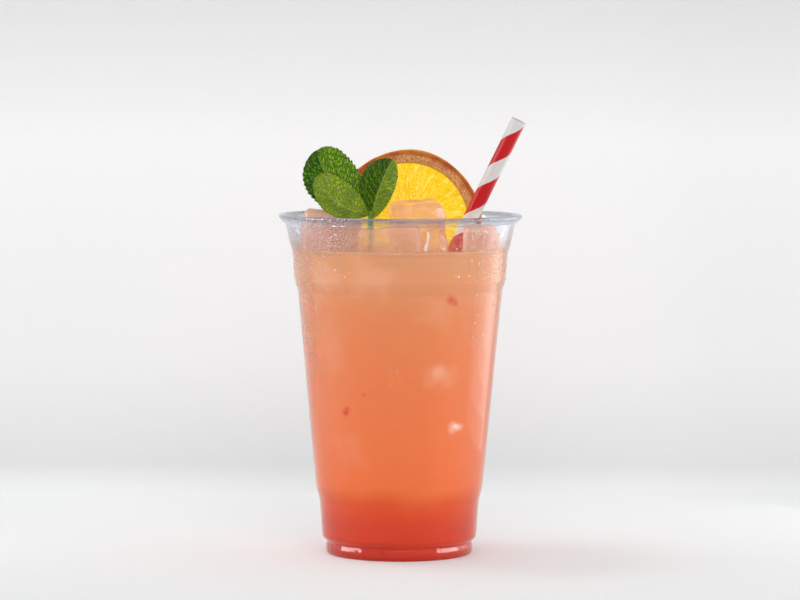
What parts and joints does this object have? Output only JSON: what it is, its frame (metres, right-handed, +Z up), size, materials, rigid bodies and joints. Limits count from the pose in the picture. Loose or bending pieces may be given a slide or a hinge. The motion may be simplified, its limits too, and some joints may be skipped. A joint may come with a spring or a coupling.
{
  "type": "iced fruit cocktail in a clear plastic tumbler",
  "caption": "Clear plastic takeaway tumbler of coral iced fruit cocktail, topped with ice, a dried orange wheel and a mint sprig, with a striped paper straw.",
  "frame": {"origin": "on the tumbler's axis, in the plane that its foot stands on", "axes": "+Z up along the tumbler's axis; -Y towards the side that the picture shows; the straw leans towards +X"},
  "size_m": [0.0986, 0.098, 0.1757],
  "materials": {
    "clear_plastic": "clear, polished",
    "drink": "cloudy liquid, glossy surface",
    "ice": "wet, slightly cloudy",
    "orange": "dried fruit, slightly glossy pulp",
    "mint": "fresh leaf, satin",
    "straw_paper": "red and white spiral stripe, satin"
  },
  "bodies": {
    "root": {"tumbler": "clear_plastic", "drink": "drink", "ice_left": "ice", "ice_middle": "ice", "ice_right": "ice", "ice_front": "ice", "ice_far_left": "ice", "ice_back_left": "ice", "ice_back": "ice", "ice_back_right": "ice", "orange_wheel": "orange", "mint_sprig": "mint", "straw": "straw_paper"}
  },
  "joints": []
}
